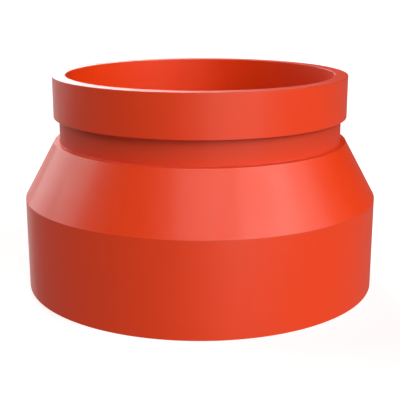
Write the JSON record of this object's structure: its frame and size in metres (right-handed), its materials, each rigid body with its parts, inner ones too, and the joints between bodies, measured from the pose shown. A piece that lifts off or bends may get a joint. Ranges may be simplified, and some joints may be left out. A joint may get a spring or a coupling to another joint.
{
  "type": "grooved to threaded pipe adapter",
  "caption": "Round metal pipe adapter: a grooved end for a pipe coupling on top, a cone, and a wider plain hub with a female taper thread below.",
  "frame": {"origin": "centre of the hub's end face, which the part stands on", "axes": "+Z along the waterway, from the threaded hub to the grooved end; X and Y are alike"},
  "size_m": [0.138, 0.138, 0.0825],
  "materials": {
    "enamel": "gloss orange-red enamel over iron",
    "machined": "bare machined thread with a film of oil"
  },
  "bodies": {
    "root": {"grooved_end": "enamel", "small_end_weld": "enamel", "cone_shell": "enamel", "large_end_weld": "enamel", "threaded_hub": "enamel"}
  },
  "joints": []
}
